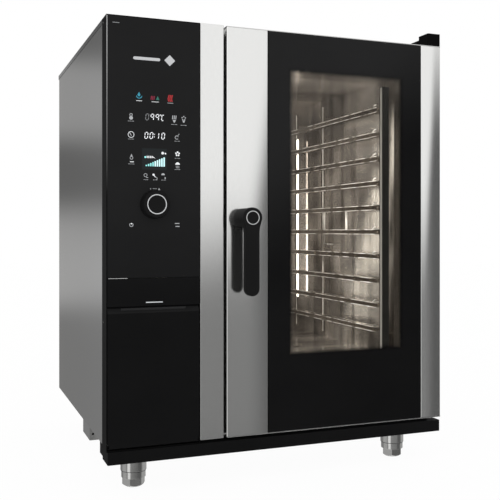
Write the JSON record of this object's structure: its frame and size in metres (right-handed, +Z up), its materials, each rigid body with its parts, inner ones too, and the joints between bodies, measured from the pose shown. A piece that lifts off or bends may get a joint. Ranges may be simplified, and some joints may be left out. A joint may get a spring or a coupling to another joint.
{
  "type": "combi steamer oven",
  "caption": "Countertop combi steamer with a side-hinged glass door and a black control column, on adjustable feet.",
  "frame": {"origin": "on the floor plane under the middle of the whole oven, lever and rear connections included", "axes": "+X to the right seen from the front, +Y towards the back, the front face looks along -Y, +Z up"},
  "size_m": [0.898, 0.874, 1.1355],
  "materials": {
    "black_coated_steel": "satin black powder coat",
    "black_plastic": "fine-textured black",
    "black_panel": "smooth black front panel",
    "control_black_glass": "black-backed glass",
    "status_light": "clear light bar",
    "brushed_side_steel": "brushed stainless, long grain",
    "brushed_front_steel": "brushed stainless, upright grain",
    "cabinet_steel": "plain stainless sheet",
    "galvanised_sheet": "galvanised sheet",
    "circuit_board": "green board",
    "display_modules": "dark display modules",
    "filter_mesh": "coarse filter mesh",
    "door_black_glass": "clear glass, black printed border",
    "clear_glass": "clear toughened glass",
    "light_lens": "frosted clear lens",
    "lever_black_plastic": "satin black grip",
    "pale_ring": "pale inlay",
    "polished_steel": "turned and polished steel",
    "bearing_plastic": "pale bearing plastic",
    "gasket_rubber": "moulded rubber",
    "cavity_steel": "bright polished stainless",
    "mineral_wool": "mineral wool jacket",
    "heater_tube": "heat-darkened tube",
    "drain_plastic": "grey pipe",
    "service_plastic": "dark grey housing",
    "cast_aluminium": "ribbed casting",
    "rack_steel": "polished stainless sections",
    "brass_fittings": "machined brass"
  },
  "bodies": {
    "oven_body": {"air_baffle": "cavity_steel", "air_filter": "filter_mesh", "base_pan": "galvanised_sheet", "cable_gland": "service_plastic", "cavity_front_frame": "cabinet_steel", "cavity_liner": "cavity_steel", "chassis_cross_beams": "galvanised_sheet", "column_frame": "black_plastic", "control_board": "circuit_board", "control_glass": "control_black_glass", "cooling_fan_housing": "service_plastic", "damper_motor": "service_plastic", "display_modules": "display_modules", "door_gasket": "gasket_rubber", "drain_pipe": "drain_plastic", "drain_strainer": "cavity_steel", "electrical_plate": "galvanised_sheet", "exhaust_flue": "cabinet_steel", "fan_motor": "cast_aluminium", "foot_sleeves": "polished_steel", "front_trim_strip": "brushed_front_steel", "heating_element": "heater_tube", "hinge_arm_top": "cabinet_steel", "hinge_cap": "black_plastic", "hinge_pivot_bottom": "polished_steel", "insulation_jacket": "mineral_wool", "plinth": "black_coated_steel", "power_electronics": "service_plastic", "rack_left": "rack_steel", "rack_right": "rack_steel", "rear_panel": "cabinet_steel", "roof_panel": "brushed_side_steel", "service_panel": "black_panel", "side_panels": "brushed_side_steel", "status_light": "status_light", "water_injector": "cavity_steel", "water_inlets": "brass_fittings"},
    "door": {"door_pan": "cabinet_steel", "door_side_trims": "brushed_front_steel", "door_outer_glass": "door_black_glass", "door_inner_glass": "clear_glass", "door_light_housing": "black_plastic", "door_light_lens": "light_lens", "lever_boss": "black_plastic", "door_drip_tray": "cabinet_steel", "door_hinge_bushes": "bearing_plastic"},
    "door_lever_body": {"door_lever": "lever_black_plastic", "lever_ring": "pale_ring", "latch_spindle": "polished_steel"},
    "knob_shaft_body": {"encoder_shaft": "polished_steel"},
    "knob_body": {"selector_knob": "lever_black_plastic", "knob_ring": "pale_ring"},
    "service_flap": {"lower_flap": "black_panel"},
    "oven_fan": {"fan_wheel": "cavity_steel"},
    "damper": {"exhaust_damper": "cabinet_steel"},
    "cooling_fan": {"cooling_fan_wheel": "service_plastic"},
    "foot_fl": {"foot_front_left": "polished_steel"},
    "foot_fr": {"foot_front_right": "polished_steel"},
    "foot_rl": {"foot_rear_left": "polished_steel"},
    "foot_rr": {"foot_rear_right": "polished_steel"}
  },
  "joints": [
    {"name": "door_hinge", "type": "hinge", "parent": "oven_body", "child": "door", "pos_m": [0.429, -0.338, 0.6065], "axis": [0, 0, 1], "range_deg": [0, 150]},
    {"name": "lever_turn", "type": "hinge", "parent": "door", "child": "door_lever_body", "pos_m": [-0.118, -0.365, 0.6385], "axis": [0, 1, 0], "range_deg": [0, 90]},
    {"name": "knob_press", "type": "slide", "parent": "oven_body", "child": "knob_shaft_body", "axis": [0, 1, 0], "range_m": [0, 0.0014], "stiffness_N_per_m": 1500, "springref_m": -0.001},
    {"name": "knob_turn", "type": "hinge", "parent": "knob_shaft_body", "child": "knob_body", "pos_m": [-0.336, -0.375, 0.669], "axis": [0, -1, 0], "continuous": true},
    {"name": "flap_hinge", "type": "hinge", "parent": "oven_body", "child": "service_flap", "pos_m": [-0.337, -0.362, 0.1125], "axis": [1, 0, 0], "range_deg": [0, 90]},
    {"name": "oven_fan_spin", "type": "hinge", "parent": "oven_body", "child": "oven_fan", "pos_m": [-0.099, 0.035, 0.6465], "axis": [1, 0, 0], "continuous": true},
    {"name": "damper_turn", "type": "hinge", "parent": "oven_body", "child": "damper", "pos_m": [0.171, 0.275, 1.0885], "axis": [1, 0, 0], "range_deg": [0, 90]},
    {"name": "cooling_fan_spin", "type": "hinge", "parent": "oven_body", "child": "cooling_fan", "pos_m": [-0.299, 0.4, 0.6915], "axis": [0, 1, 0], "continuous": true},
    {"name": "foot_fl_height", "type": "slide", "parent": "oven_body", "child": "foot_fl", "axis": [0, 0, 1], "range_m": [0, 0.012]},
    {"name": "foot_fr_height", "type": "slide", "parent": "oven_body", "child": "foot_fr", "axis": [0, 0, 1], "range_m": [0, 0.012]},
    {"name": "foot_rl_height", "type": "slide", "parent": "oven_body", "child": "foot_rl", "axis": [0, 0, 1], "range_m": [0, 0.012]},
    {"name": "foot_rr_height", "type": "slide", "parent": "oven_body", "child": "foot_rr", "axis": [0, 0, 1], "range_m": [0, 0.012]}
  ]
}
